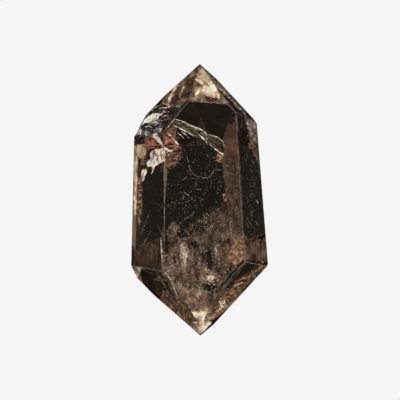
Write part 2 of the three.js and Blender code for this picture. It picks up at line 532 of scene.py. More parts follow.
# Painted highlights: the white glassy break and its bright rims.
FRACTURE_HIGHLIGHT = flaw_finish(
    "white_fracture",
    [(0.36, srgb(120, 96, 74)), (0.45, srgb(206, 190, 168)), (0.53, srgb(248, 242, 230)),
     (0.66, srgb(220, 208, 192))],
    grain=1.6, cover=1.0, painted_glow=0.9, bleed=6, ragged=0.05,
)
lay_sheet(
    "white_fracture",
    [
        [(-15.7, 19.7), (-14.6, 21.4), (-13.2, 22.5), (-12.3, 23.1), (-9.8, 22.8), (-11, 22.1),
         (-11.1, 21.5), (-12.8, 21.1), (-13.1, 20.5), (-14.6, 20.4)],
        stroke(0.22, (-10.9, 24.2), (-10.1, 24.4), (-8.9, 24.5), (-7.7, 24.8)),
        stroke(0.35, (-15.9, 19.2), (-15.8, 18.3), (-15.6, 17.2)),
        stroke(0.3, (-11.1, 18.9), (-10.4, 18.9), (-9.8, 18.6)),
        stroke(0.25, (-12.7, 20.4), (-11.7, 20.7), (-11.1, 20.1)),
        stroke(0.25, (-14.6, 19.4), (-13.5, 19.6), (-12.7, 19.2)),
    ],
    FRACTURE_HIGHLIGHT, jag=0.12, depth=0.25, wave=0.05, step=0.4,
)

# The shell crack: a curved break that runs across the upper half of the top face, banded like
# the lip of a shell, with thin bright lines where its steps catch the light.
OLIVE = flaw_finish(
    "shell_bands",
    [(0.38, srgb(24, 22, 16)), (0.48, srgb(58, 52, 38)), (0.56, srgb(92, 84, 62)),
     (0.66, srgb(150, 138, 108))],
    grain=1.2, cover=0.9, painted_glow=0.8, stretch=(1, 4, 1), turn=25, bleed=6,
)
lay_sheet(
    "shell_crack",
    [
        [(-6.9, 21.3), (-2.8, 19.9), (0.8, 18.6), (3.2, 16.4), (5.8, 13.8), (6.4, 11.9), (5.6, 9.8),
         (5, 10.6), (5.2, 12.5), (4, 14), (1.9, 15.6), (-0.8, 16.6), (-2.1, 17), (-6.1, 19.3)],
    ],
    OLIVE, depth=2.5, wave=0.5,
)
UMBER = flaw_finish(
    "umber_stain",
    [(0.4, srgb(44, 32, 27)), (0.5, srgb(78, 60, 50)), (0.62, srgb(112, 88, 72))],
    grain=4, cover=1.0, painted_glow=0.85, bleed=2,
)
lay_sheet(
    "shell_stain",
    [
        [(1.6, 17.8), (3.2, 17), (5.8, 15.2), (6.8, 13.5), (6.6, 12.5), (4.5, 14), (2.4, 15.9)],
        [(11.9, -11.1), (17.6, -11.2), (17.9, -16.3), (12.2, -15.9)],
    ],
    UMBER, depth=2.0, wave=0.4, feather=0.3,
)
GLINT = flaw_finish(
    "glint_lines",
    [(0.38, srgb(90, 80, 66)), (0.48, srgb(168, 156, 136)), (0.58, srgb(236, 228, 212))],
    grain=0.8, cover=0.95, painted_glow=0.9, bleed=6, ragged=0.12,
)
lay_sheet(
    "shell_lines",
    [
        stroke(0.32, (-6.7, 21.5), (-4.3, 20.7), (-2.7, 19.8), (-0.8, 19.1), (0.8, 18.4), (1.9, 17.2)),
        stroke(0.3, (-6.7, 21.5), (-7.7, 20.4), (-8.5, 19.2)),
        stroke(0.3, (-7.2, 19.9), (-5.1, 18.9), (-3.2, 17.9), (-1.5, 16.9)),
        stroke(0.25, (-5.9, 17.8), (-5, 17.1), (-4.2, 16.3)),
        stroke(0.25, (-5, 18.2), (-4, 17.5), (-2.9, 16.4)),
        stroke(0.45, (-0.5, 17.4), (0.5, 16.6), (1.5, 15.7), (1.9, 15)),
        stroke(0.3, (2.3, 14.9), (4.5, 13.2), (6.1, 12.1), (5.8, 11.4)),
        stroke(0.25, (2.3, 17.4), (4.5, 16.7), (6.1, 15.4), (6.5, 14)),
    ],
    GLINT, jag=0.1, depth=0.45, wave=0.15, step=0.4,
)
# Faint painted glints: dim pale lines along thin cracks, and along the arrises as painted highlights.
FAINT_GLINT = flaw_finish(
    "faint_lines",
    [(0.38, srgb(32, 27, 23)), (0.48, srgb(66, 57, 49)), (0.58, srgb(130, 118, 105))],
    grain=0.7, cover=0.72, painted_glow=0.85, bleed=6, ragged=0.12,
)
lay_sheet(
    "faint_lines",
    [
        stroke(0.22, (-3, 8.9), (-2.3, 7.4), (-1.1, 6.3), (0, 6.1)),
        stroke(0.22, (4.4, 9), (3.4, 7.2), (1.6, 5.3)),
        stroke(0.2, (-4.2, 13.5), (-3.4, 11.1), (-2.7, 9)),
        stroke(0.18, (-6.4, -7.4), (-3.7, -4.8), (-1.1, -3.2)),
        stroke(0.2, (12.2, -4.5), (13.5, -6.5), (13.9, -7.7)),
        stroke(0.3, (14.8, 0), (15.2, -0.5), (15.4, -1.3)),
        stroke(0.2, (-11.4, -6.4), (-10.6, -8), (-10.1, -9.3)),
        stroke(0.3, (-13, -8.2), (-14.8, -11.4), (-16.6, -15.1)),
        stroke(0.35, (4.2, -12.2), (4.3, -13.8), (4.1, -15.6)),
        stroke(0.35, (-10.4, -9.5), (-10.2, -13.2), (-10, -18)),
        stroke(0.3, (-5.1, -22.5), (-2.7, -27.8), (-0.7, -26)),
        stroke(0.3, (-12.1, -18), (-8.7, -23.9), (-5.5, -29.5)),
        stroke(0.5, (-9.5, -18.6), (-7.7, -20.9), (-6.6, -23.9), (-5.5, -26.7)),
        stroke(0.25, (-5.3, -10.3), (-3.7, -11.7), (-2.2, -12.7)),
        stroke(0.2, (7.4, -1.6), (8.2, -5.8), (7.7, -10.1)),
        stroke(0.2, (-7.4, -25.4), (-5.3, -28.9), (-2.9, -32.3)),
        stroke(0.3, (8.7, -22.8), (10.1, -22.4), (11.4, -21.7)),
        stroke(0.3, (13.8, -18.6), (13.6, -20.1), (13.2, -22)),
        stroke(0.35, (5.8, -25.7), (7.7, -24.6), (10.6, -22)),
        stroke(0.3, (1.6, -31.3), (3.2, -29.4), (5.3, -27.3)),
        stroke(0.25, (-8, -12.2), (-6.4, -14.8), (-5.8, -18), (-4.2, -21.7)),
        stroke(0.25, (-0.5, -10.6), (0.5, -13.8), (0, -17.5)),
        stroke(0.25, (5.8, -12.2), (5, -15.4), (3.2, -18)),
        stroke(0.2, (-13.2, -2.7), (-14.3, -5.8), (-15.9, -9.5)),
    ],
    FAINT_GLINT, jag=0.1, depth=0.45, wave=0.15, step=0.4,
)
lay_sheet(
    "arris_gleams",
    [
        stroke(0.14, (0, 35.5), (-1.1, 32.6), (-2.1, 29.2), (-2.9, 26.4)),
        stroke(0.14, (-2.9, 26.2), (0, 25.9), (3.7, 25.7), (7.4, 25.4)),
        stroke(0.22, (7.5, 25.4), (8.5, 24.5), (9.4, 23.5)),
        stroke(0.2, (9.4, 23.5), (9.6, 21.7), (9.8, 19.6), (10.1, 17.5)),
        stroke(0.22, (11.1, 22.7), (13, 21.5), (14.9, 20.5)),
        stroke(0.12, (-9.4, 8.5), (-9.5, 0), (-9.4, -8.5)),
        stroke(0.16, (15, 19.6), (15.3, 13.2), (15.8, 5.3)),
        stroke(0.14, (0.2, 35.6), (3.2, 32.7), (6.9, 29.2), (10.6, 25.3)),
        stroke(0.1, (10.1, 17.5), (10.7, 8), (11.3, -1.6), (11.5, -9.5)),
    ],
    FAINT_GLINT, jag=0.04, depth=0.35, step=0.4,
)
lay_sheet(
    "bright_lines",
    [
        stroke(0.3, (14.9, 0.1), (15.2, -0.5), (15.4, -1.3)),
        stroke(0.3, (4.2, -12.5), (4.3, -13.8), (4.1, -15.4)),
        stroke(0.3, (8.7, -22.8), (10.1, -22.4), (11.4, -21.7)),
        stroke(0.3, (-10.4, -10.1), (-10.2, -13.2), (-10, -17.5)),
        stroke(0.3, (-9.3, -19.1), (-7.7, -21.2), (-6.6, -23.9), (-5.7, -26.2)),
    ],
    GLINT, jag=0.1, depth=0.4, wave=0.1, step=0.4,
)
EMBER = flaw_finish(
    "ember_stain",
    [(0.38, srgb(70, 42, 30)), (0.48, srgb(134, 84, 60)), (0.58, srgb(196, 138, 104))],
    grain=1.0, cover=0.85, painted_glow=0.8, bleed=5, ragged=0.12,
)
lay_sheet(
    "ember_spots",
    [
        [(4.2, 12.6), (5, 12.7), (6.1, 11.4), (5.6, 9.8), (4.6, 9.3), (4.2, 10.6)],
        [(5.6, 1.6), (6.6, 1.7), (7.3, 0.3), (6.9, -0.8), (6, 0.3)],
    ],
    EMBER, depth=1.5, wave=0.4, feather=1.0,
)
COPPER = flaw_finish(
    "copper_haze",
    [(0.36, srgb(70, 52, 40)), (0.47, srgb(116, 86, 64)), (0.56, srgb(156, 118, 88)),
     (0.66, srgb(200, 164, 132))],
    grain=1.3, cover=0.8, painted_glow=0.8, bleed=8, ragged=0.25, stretch=(1.8, 1, 1),
)
lay_sheet(
    "copper_haze",
    [
        [(8.2, -10.6), (10.1, -9.5), (11.7, -10.1), (11.9, -15.6), (9.5, -17.8), (7.4, -16.4),
         (7.4, -13.2)],
    ],
    COPPER, depth=1.2, wave=0.4, feather=1.3,
)

BLUSH = flaw_finish(
    "strip_blush",
    [(0.4, srgb(72, 45, 36)), (0.6, srgb(96, 64, 51))],
    grain=3, cover=1.0, painted_glow=0.85, bleed=2, ragged=0.25,
)
lay_sheet(
    "strip_blush",
    [
        [(7.6, 20.1), (9.4, 20.7), (9.9, 16.4), (10.1, 11.1), (7.4, 11.1), (6.9, 14.3), (6.9, 17)],
    ],
    BLUSH, depth=0.9, wave=0.2, feather=1.0,
)

# The clouds in the two points and along the left side: thin milky layers, with painted highlights,
# pale glowing patches and bands, where the faces catch the light.
STRIP_HAZE = flaw_finish(
    "strip_haze",
    [(0.36, srgb(48, 35, 28)), (0.46, srgb(62, 47, 38)), (0.55, srgb(76, 60, 48)),
     (0.66, srgb(102, 84, 69))],
    grain=1.5, cover=0.82, painted_glow=0.8, bleed=8, ragged=0.2, stretch=(1.4, 0.8, 1), turn=20,
)
CLOUD_AND_HIGHLIGHT = flaw_finish(
    "milky_cloud_and_highlight",
    [(0.34, srgb(116, 90, 70)), (0.45, srgb(166, 140, 114)), (0.54, srgb(202, 182, 156)),
     (0.64, srgb(236, 226, 208))],
    grain=3.4, cover=0.9, painted_glow=0.95, bleed=2, ragged=0.4, stretch=(1.5, 1, 1),
)
BASE_CLOUD = flaw_finish(
    "base_cloud",
    [(0.38, srgb(66, 46, 36)), (0.46, srgb(116, 90, 70)), (0.54, srgb(154, 128, 102)),
     (0.64, srgb(190, 168, 140))],
    grain=5, cover=1.05, painted_glow=0.95, bleed=3, ragged=0.3, stretch=(1.8, 1, 1), turn=10,
)
lay_sheet(
    "upper_base_cloud",
    [
        [(-0.1, 35.5), (2.9, 32.1), (5.3, 29.2), (7.7, 25.6), (4.2, 26), (0.5, 26.2), (-2.8, 26.4),
         (-1.6, 30.7)],
        [(-16.7, 14.7), (-14.8, 14.8), (-14.3, 12.2), (-15.1, 10.6), (-16.6, 11.4)],
    ],
    BASE_CLOUD, depth=0.9, wave=0.3, feather=0.8,
)
# Painted highlights: bright cream patches on the upper faces and pale bands along the edges.
lay_sheet(
    "upper_cloud",
    [
        [(-0.7, 35), (0.8, 34.7), (1.6, 33.1), (-0.3, 32.7), (-0.9, 33.4)],
        [(1.1, 30.7), (3.2, 31.8), (4.8, 28.9), (5.3, 26.9), (3.2, 27.2), (1.3, 27.7), (0.5, 28.9)],
        stroke(1.0, (0, 29.7), (-0.7, 28.4), (-1.6, 26.4)),
        stroke(1.2, (-1.3, 32.1), (0.3, 31.3), (2.7, 30.7)),
        stroke(
            0.55, (0.1, 35.4), (3.2, 32.3), (4.8, 30.2), (6.4, 28.4), (8.2, 26.7),
            (10.6, 24.1), (12.9, 21.5),
        ),
        [(-17.4, 14.3), (-16.6, 14.6), (-16.7, 5.3), (-16.9, -4), (-17.5, -4.2)],
        [(-18.1, -17.6), (-15.1, -17.7), (-15.9, -19.3), (-16.6, -20.6)],
        stroke(0.5, (14.8, 20.4), (15.1, 18), (15.3, 15.1)),
    ],
    CLOUD_AND_HIGHLIGHT, depth=0.5, wave=0.3, feather=0.6,
)
PLUM_CLOUD = flaw_finish(
    "plum_cloud",
    [(0.36, srgb(56, 46, 44)), (0.46, srgb(104, 92, 88)), (0.56, srgb(144, 130, 124)),
     (0.66, srgb(200, 190, 182))],
    grain=2.2, cover=0.9, painted_glow=0.8, bleed=4, ragged=0.25, stretch=(1, 2, 1), turn=-45,
)
lay_sheet(
    "right_shoulder_cloud",
    [
        stroke(1.5, (2.1, 33.3), (4.8, 30.7), (8, 27.6), (11.4, 24), (13.8, 21.5)),
        [(11.9, 21.6), (14.7, 20.5), (15.1, 17.5), (14.7, 15.1), (13.2, 17.8), (12.3, 19.3)],
    ],
    PLUM_CLOUD, depth=0.45, wave=0.15, feather=0.4,
)
SMOKE_CLOUD = flaw_finish(
    "smoky_cloud",
    [(0.36, srgb(58, 41, 33)), (0.46, srgb(86, 65, 51)), (0.56, srgb(116, 92, 73)),
     (0.66, srgb(158, 134, 111))],
    grain=5, cover=0.98, painted_glow=0.8, bleed=2, ragged=0.25, stretch=(1, 2.2, 1), turn=55,
)
lay_sheet(
    "shoulder_cloud",
    [
        [(-0.7, 35), (-3, 26.6), (-5, 24.9), (-8, 25.3), (-10.5, 25.4), (-6.6, 29.7), (-3.4, 33.1)],
    ],
    SMOKE_CLOUD, depth=0.5, wave=0.3, feather=0.5,
)
lay_sheet(
    "shoulder_streaks",
    [
        stroke(0.9, (-6.1, 30.7), (-7, 28.9), (-8, 27), (-8.6, 25)),
        stroke(0.8, (-9.7, 25.8), (-8.7, 25.3), (-7.7, 24.8)),
        stroke(0.5, (-3.7, 31.8), (-4.5, 29.7), (-5.6, 27)),
        stroke(0.7, (-2.9, 33.4), (-5, 31.3), (-7.2, 29.2)),
    ],
    CLOUD_AND_HIGHLIGHT, depth=0.4, wave=0.1, feather=0.3,
)
TIP_CLOUD = flaw_finish(
    "tip_cloud",
    [(0.33, srgb(36, 24, 18)), (0.46, srgb(92, 62, 42)), (0.58, srgb(142, 104, 74)),
     (0.72, srgb(220, 196, 168))],
    grain=2.0, cover=0.86, painted_glow=0.8, bleed=5, ragged=0.2, stretch=(1, 3, 1), turn=40,
)
lay_sheet(
    "right_tip_cloud",
    [
        [(16.4, -17.2), (13, -19.1), (9.8, -21.2), (6.9, -23.9), (5, -26.2), (1.6, -29.9),
         (1.1, -33.1), (4.5, -31.3), (8.5, -26.8), (13, -22), (17.5, -17.4)],
    ],
    TIP_CLOUD, depth=0.5, wave=0.3, feather=0.5,
)
STREAKS = flaw_finish(
    "tip_streaks",
    [(0.33, srgb(30, 20, 15)), (0.46, srgb(78, 52, 36)), (0.6, srgb(124, 90, 64)),
     (0.74, srgb(206, 182, 152))],
    grain=2.0, cover=0.8, painted_glow=0.8, bleed=5, ragged=0.2, stretch=(3, 1, 1), turn=40,
)
lay_sheet(
    "left_side_stain",
    [
        [(-16.6, 6.4), (-15.5, 5.8), (-15.2, 0), (-15.6, -4.8), (-16.4, -8.5), (-16.7, -1.3)],
        stroke(0.35, (-16.1, 9.5), (-16, 6.9), (-16.1, 3.7)),
    ],
    TIP_CLOUD, depth=0.5, wave=0.1, feather=0.4,
)
lay_sheet(
    "left_side_haze",
    [
        [(-17.5, -13.2), (-13.8, -10.6), (-10.6, -10.1), (-10.3, -17.5), (-17, -17)],
    ],
    STRIP_HAZE, depth=1.0, wave=0.3, feather=2.2,
)
lay_sheet(
    "left_tip_streaks",
    [
        [(-10.1, -23.9), (-8.5, -23.9), (-5.8, -27.6), (-3.7, -30.2), (-2.1, -33.7), (-5.3, -31.5),
         (-8.5, -28.6), (-10.6, -26.5)],
        [(-9.5, -19.1), (-8.5, -20.1), (-5.3, -26.5), (-2.1, -29.9), (-0.8, -34.5), (-2.7, -33.4),
         (-5.3, -29.4), (-8, -23.9)],
    ],
    STREAKS, depth=0.5, wave=0.3, feather=0.5,
)

# The veils: clouds of tiny healed cracks in the lower half, brown where the smoke is deep and
# pale where they lie near the top face.
VEIL = flaw_finish(
    "healed_veil",
    [(0.33, srgb(22, 17, 13)), (0.45, srgb(62, 48, 38)), (0.56, srgb(94, 75, 61)),
     (0.7, srgb(140, 118, 98))],
    grain=2.4, cover=1.0, painted_glow=0.9, bleed=8, stretch=(1.6, 1, 1), ragged=0.2,
)
TIP_VEIL = flaw_finish(
    "tip_veil",
    [(0.36, srgb(44, 27, 18)), (0.46, srgb(88, 62, 45)), (0.56, srgb(122, 91, 68)),
     (0.68, srgb(176, 146, 118))],
    grain=1.6, cover=1.0, painted_glow=0.95, bleed=8, stretch=(1.4, 0.9, 1), ragged=0.2,
)
# Painted shade: dark sheets laid where the veil leaves gaps and on the right shoulder, where there is
# only shade.
PAINTED_SHADE = flaw_finish(
    "painted_shade_sheet",
    [(0.4, srgb(12, 9, 8)), (0.6, srgb(42, 32, 26))],
    grain=1.0, cover=0.95, painted_glow=0.8, bleed=6, ragged=0.15,
)
lay_sheet(
    "brown_veil",
    [
        [(-9, -11.7), (-8.5, -7.4), (-6.4, -5.8), (-5.3, -7.4), (-4.8, -10.1), (-3.2, -10.6),
         (-2.1, -8.5), (1.3, -8), (3.7, -7.7), (6.9, -6.9), (8.5, -8.5), (11.4, -10.6),
         (11.7, -15.4), (4.2, -24.4), (2.9, -28.9), (-2.1, -29.4), (-5.8, -24.9), (-9.3, -19.1)],
    ],
    VEIL, depth=4.0, wave=2.0, feather=1.5,
)
lay_sheet(
    "tip_veil",
    [
        [(-6, -23.2), (4.3, -25), (2.4, -29.2), (0.9, -32.1), (-0.8, -32.1), (-2.4, -29.6)],
    ],
    TIP_VEIL, depth=1.4, wave=0.3, feather=0.2,
)
PAINTED_SHADE_PATCHES = [
    [(-6.2, -8), (-4.8, -7.8), (-2.9, -9), (-3.2, -10.3), (-4.8, -10.2), (-6.1, -9.5)],
    [(1.3, -12.5), (2.4, -12.2), (3.4, -14.8), (3.2, -18.6), (1.9, -18)],
    [(0.5, -22.3), (2.7, -22), (4.6, -23.1), (3.2, -24.1), (1.1, -23.9)],
    [(-9.3, -10.6), (-8.2, -10.6), (-8.3, -14.6), (-9.1, -14.3)],
    [(1.8, -23.6), (3.7, -24.1), (3.2, -28.6), (2.3, -27.6)],
    [(-2.7, -11.4), (-1.1, -10.6), (-0.3, -12.2), (-1.6, -13.2)],
    [(7.8, 22.3), (9, 23.2), (9.4, 20.4), (7.5, 19.9)],
    [(10, 19.6), (13, 19.1), (13.2, 15.6), (12.2, 14.3), (10.2, 15.1)],
]
lay_sheet("dark_gaps", PAINTED_SHADE_PATCHES, PAINTED_SHADE, depth=1.0, wave=0.3, feather=0.6)
lay_sheet(
    "strip_haze",
    [
        [(8, 20.1), (9.3, 19.1), (10.1, 10.6), (10.9, 0), (11.4, -9.5), (8.5, -8.5), (7.2, -1.3),
         (6.6, 8), (6.6, 15.9)],
    ],
    STRIP_HAZE, depth=1.2, wave=0.4, feather=0.8,
)
lay_sheet(
    "upper_veil",
    [
        [(-1.6, -9.5), (0, -6.4), (2.7, -2.7), (5.8, 0.5), (8.5, -1.6), (8.7, -8.5), (3.2, -10.1)],
    ],
    STRIP_HAZE, depth=2.0, wave=1.0, feather=3.6,
)
PALE_VEIL = flaw_finish(
    "pale_veil",
    [(0.35, srgb(110, 92, 74)), (0.5, srgb(170, 152, 128)), (0.64, srgb(232, 220, 200))],
    grain=0.9, cover=0.72, painted_glow=1.0, bleed=8, stretch=(1.5, 0.8, 1), ragged=0.15,
)
lay_sheet(
    "pale_veil",
    [
        [(-5.4, -11.1), (-4.5, -11.4), (-3.4, -13), (-3, -15.1), (-3.4, -17.5), (-4.2, -18),
         (-5.1, -15.4), (-5.4, -13.2)],
        [(1.3, -19.9), (3.2, -18.9), (4.1, -20.4), (3.6, -22.5), (1.6, -21.5)],
        [(3.6, -11.9), (4.4, -11.5), (4.8, -13.8), (4.5, -15.9), (3.7, -15.1)],
        [(-9.8, -18.2), (-9, -18.4), (-7.7, -21.2), (-6.4, -23.9), (-5.4, -26.9), (-6.1, -26.8),
         (-7.7, -23.9)],
        [(-5.3, -22.3), (-4.5, -22.5), (-2.7, -26.8), (-0.8, -25.8), (-0.5, -26.5), (-2.8, -27.8)],
    ],
    PALE_VEIL, depth=1.2, wave=0.6, feather=0.9,
)
# Painted light: pale sheets in the clear lower point, standing in for the light seen through it.
lay_sheet(
    "tip_window",
    [
        [(-2.3, -29.6), (2.3, -29.2), (0.8, -32.5), (-0.7, -32.5)],
        [(-2.8, -33.1), (-1.9, -32.2), (2.1, -32.1), (3.2, -32.5), (0.1, -35.8)],
        [(4.8, -27.3), (6.9, -26), (6.9, -28.1), (5, -30.2)],
        stroke(1.0, (1.3, -32.9), (3.2, -31), (5.6, -28.6), (7.7, -26.2)),
    ],
    CLOUD_AND_HIGHLIGHT, depth=0.5, wave=0.3, feather=0.5,
)

# The flecks: needles and splinters of healed crack, fine as dust, scattered through the stone and
# thick along the veils. They are grown where a noise is high, on sheets laid at their depth. Their
# glow is painted light: each fleck gives off its own shade as emission.
SHARD_FLATNESS = 0.5
FLECK_TILT = 0.35
FIRST_DRAW = 11
CLUMP_DETAIL = 2
CLUMP_STARTS = 0.42
CLUMP_FULL = 0.68
FLECK_ROUGHNESS = 0.4
MID_TONE = 0.75
ANY_WAY = 3.14

def shard_mesh(name, long, thick):
    shape = bmesh.new()
    bmesh.ops.create_icosphere(shape, subdivisions=1, radius=MM)
    bmesh.ops.scale(shape, vec=(long, thick, thick * SHARD_FLATNESS), verts=shape.verts)
    mesh = bpy.data.meshes.new(name)
    shape.to_mesh(mesh)
    shape.free()
    return bpy.data.objects.new(name, mesh)

def scatter_tree():
    tree = bpy.data.node_groups.new("scatter_flecks", "GeometryNodeTree")
    sockets = tree.interface
    sockets.new_socket("Geometry", in_out="INPUT", socket_type="NodeSocketGeometry")
    for label, kind in (
        ("Density", "NodeSocketFloat"), ("Clumps", "NodeSocketFloat"), ("Seed", "NodeSocketInt"),
        ("Spread", "NodeSocketFloat"), ("Smallest", "NodeSocketFloat"), ("Largest", "NodeSocketFloat"),
        ("Swing", "NodeSocketFloat"), ("Shard", "NodeSocketObject"), ("Finish", "NodeSocketMaterial"),
    ):
        sockets.new_socket(label, in_out="INPUT", socket_type=kind)
    sockets.new_socket("Geometry", in_out="OUTPUT", socket_type="NodeSocketGeometry")
    new = tree.nodes.new
    link = tree.links.new
    given = new("NodeGroupInput").outputs
    result = new("NodeGroupOutput")
    where = new("GeometryNodeInputPosition")
    clump = new("ShaderNodeTexNoise")
    link(where.outputs[0], clump.inputs["Vector"])
    link(given["Clumps"], clump.inputs["Scale"])
    clump.inputs["Detail"].default_value = CLUMP_DETAIL
    thickness = new("ShaderNodeMapRange")
    link(clump.outputs["Fac"], thickness.inputs["Value"])
    thickness.inputs["From Min"].default_value = CLUMP_STARTS
    thickness.inputs["From Max"].default_value = CLUMP_FULL
    points = new("GeometryNodeDistributePointsOnFaces")
    link(given["Geometry"], points.inputs["Mesh"])
    crowd = new("ShaderNodeMath")
    crowd.operation = "MULTIPLY"
    link(thickness.outputs[0], crowd.inputs[0])
    link(given["Density"], crowd.inputs[1])
    link(crowd.outputs[0], points.inputs["Density"])
    link(given["Seed"], points.inputs["Seed"])

    def random(draw, low, high):
        node = new("FunctionNodeRandomValue")
        node.data_type = "FLOAT"
        ends = [socket for socket in node.inputs if socket.enabled]
        for socket, value in zip(ends, (low, high)):
            if isinstance(value, bpy.types.NodeSocket):
                link(value, socket)
            else:
                socket.default_value = value
        seed = new("ShaderNodeMath")
        link(given["Seed"], seed.inputs[0])
        seed.inputs[1].default_value = FIRST_DRAW + draw
        link(seed.outputs[0], node.inputs["Seed"])
        return next(socket for socket in node.outputs if socket.enabled)

    drop = random(0, 0, given["Spread"])
    sunk = new("ShaderNodeVectorMath")
    sunk.operation = "SCALE"
    link(points.outputs["Normal"], sunk.inputs[0])
    link(drop, sunk.inputs["Scale"])
    inward = new("ShaderNodeVectorMath")
    inward.operation = "SUBTRACT"
    link(sunk.outputs[0], inward.inputs[1])
    move = new("GeometryNodeSetPosition")
    link(points.outputs["Points"], move.inputs["Geometry"])
    link(inward.outputs[0], move.inputs["Offset"])
    shard = new("GeometryNodeObjectInfo")
    link(given["Shard"], shard.inputs["Object"])
    place = new("GeometryNodeInstanceOnPoints")
    link(move.outputs[0], place.inputs["Points"])
    link(shard.outputs["Geometry"], place.inputs["Instance"])
    tip = random(1, -FLECK_TILT, FLECK_TILT)
    swing = random(2, -1, 1)
    turned = new("ShaderNodeMath")
    turned.operation = "MULTIPLY"
    link(swing, turned.inputs[0])
    link(given["Swing"], turned.inputs[1])
    upright = new("ShaderNodeMath")
    link(turned.outputs[0], upright.inputs[0])
    upright.inputs[1].default_value = math.pi / 2
    turn = new("ShaderNodeCombineXYZ")
    link(tip, turn.inputs["Y"])
    link(upright.outputs[0], turn.inputs["Z"])
    turning = new("FunctionNodeEulerToRotation")
    link(turn.outputs[0], turning.inputs[0])
    lie = new("FunctionNodeRotateRotation")
    lie.rotation_space = "LOCAL"
    link(points.outputs["Rotation"], lie.inputs["Rotation"])
    link(turning.outputs[0], lie.inputs["Rotate By"])
    link(lie.outputs[0], place.inputs["Rotation"])
    size = random(3, given["Smallest"], given["Largest"])
    link(size, place.inputs["Scale"])
    tone = new("GeometryNodeStoreNamedAttribute")
    tone.domain = "INSTANCE"
    tone.data_type = "FLOAT"
    tone.inputs["Name"].default_value = "tone"
    link(place.outputs[0], tone.inputs["Geometry"])
    link(random(4, 0, 1), tone.inputs["Value"])
    real = new("GeometryNodeRealizeInstances")
    link(tone.outputs[0], real.inputs["Geometry"])
    finish = new("GeometryNodeSetMaterial")
    link(real.outputs[0], finish.inputs["Geometry"])
    link(given["Finish"], finish.inputs["Material"])
    link(finish.outputs[0], result.inputs["Geometry"])
    return tree

def fleck_finish(name, dark, mid, pale, painted_glow):
    material, tree, shader = new_material(name)
    tone = tree.nodes.new("ShaderNodeAttribute")
    tone.attribute_name = "tone"
    ramp = tree.nodes.new("ShaderNodeValToRGB")
    ramp.color_ramp.elements[0].color = dark
    ramp.color_ramp.elements[1].color = pale
    middle = ramp.color_ramp.elements.new(MID_TONE)
    middle.color = mid
    tree.links.new(tone.outputs["Fac"], ramp.inputs["Fac"])
    tree.links.new(ramp.outputs["Color"], shader.inputs["Base Color"])
    tree.links.new(ramp.outputs["Color"], shader.inputs["Emission Color"])
    shader.inputs["Emission Strength"].default_value = painted_glow
    shader.inputs["Roughness"].default_value = FLECK_ROUGHNESS
    shader.inputs["Specular IOR Level"].default_value = FLAW_SHINE
    return material

SCATTER = scatter_tree()

def scatter(name, patches, shard, finish, depth, spread, density, clumps, size, swing, seed):
    host = add_piece(name, sheet_mesh(name, patches, depth, thick=0), finish)
    settings = host.modifiers.new("scatter", "NODES")
    settings.node_group = SCATTER
    values = {
        "Density": density / MM**2, "Clumps": 1 / (clumps * MM), "Seed": seed,
        "Spread": spread * MM, "Smallest": size[0], "Largest": size[1],
        "Swing": swing, "Shard": shard, "Finish": finish,
    }
    for socket in SCATTER.interface.items_tree:
        if socket.in_out == "INPUT" and socket.name in values:
            settings[socket.identifier] = values[socket.name]
    whole = bpy.context.evaluated_depsgraph_get()
    mesh = bpy.data.meshes.new_from_object(host.evaluated_get(whole), depsgraph=whole)
    host.modifiers.clear()
    host.data = mesh
    settle(host)

NEEDLE = shard_mesh("needle", 1.0, 0.032)
SPLINTER = shard_mesh("splinter", 0.3, 0.14)
DUST = fleck_finish("dust_flecks", srgb(40, 35, 30), srgb(96, 88, 78), srgb(226, 220, 210), 0.9)
TAN = fleck_finish("tan_flecks", srgb(34, 26, 20), srgb(108, 86, 68), srgb(232, 212, 188), 0.9)
RUSTY = fleck_finish("rusty_flecks", srgb(40, 20, 14), srgb(136, 88, 66), srgb(236, 206, 188), 0.9)
WHOLE_FRONT = [
    (-9, 13.2), (0, 15.9), (7.4, 13.8), (11.1, -15.4), (4.2, -24.1), (2.9, -28.9),
    (-2.1, -29.4), (-5.8, -24.9), (-9, -18.6),
]
LOWER_FRONT = [
    (-9.3, -10.6), (-8.5, -6.9), (-5.8, -4.8), (-2.7, -6.9), (0, -4), (3.7, -2.7), (8.5, -4.8),
    (11.7, -8.5), (11.7, -15.4), (4.2, -24.1), (2.9, -28.9), (-2.1, -29.4), (-5.8, -24.9),
    (-9.3, -19.1),
]
MIDDLE = [(-9, 4), (-5.3, 8), (4, 9.3), (7.4, 13.2), (9, 13.2), (11.1, -10.6), (0, -13.2), (-8.5, -10.6)]
RIGHT_SIDE = [(12.2, 15.9), (15.4, 19.1), (16.7, -10.6), (12.5, -10.6)]
LEFT_SIDE = [(-15.1, 5.3), (-10.1, 8), (-9.8, -16.4), (-17.5, -17), (-15.4, -6.6)]
STAINED = [
    (-13.2, 17.5), (-9.5, 19.3), (-5.8, 19.1), (-5.6, 14.8), (-4.2, 13.2), (-5.3, 9.3),
    (-9, 7.4), (-13.2, 8), (-15.6, 9.3), (-15.4, 14.3),
]
scatter("fine_dust", [WHOLE_FRONT, RIGHT_SIDE, LEFT_SIDE], SPLINTER, DUST, depth=0.3, spread=6,
        density=5, clumps=4, size=(0.1, 0.42), swing=ANY_WAY, seed=3)
scatter("fine_needles", [MIDDLE, RIGHT_SIDE], NEEDLE, DUST, depth=0.6, spread=5,
        density=1.6, clumps=3, size=(0.3, 1.2), swing=1.9, seed=5)
scatter("veil_needles", [LOWER_FRONT], NEEDLE, TAN, depth=0.6, spread=3,
        density=9, clumps=1.6, size=(0.3, 1.1), swing=0.9, seed=8)
scatter("veil_dust", [LOWER_FRONT], SPLINTER, TAN, depth=0.3, spread=3,
        density=20, clumps=1.6, size=(0.15, 0.6), swing=ANY_WAY, seed=9)
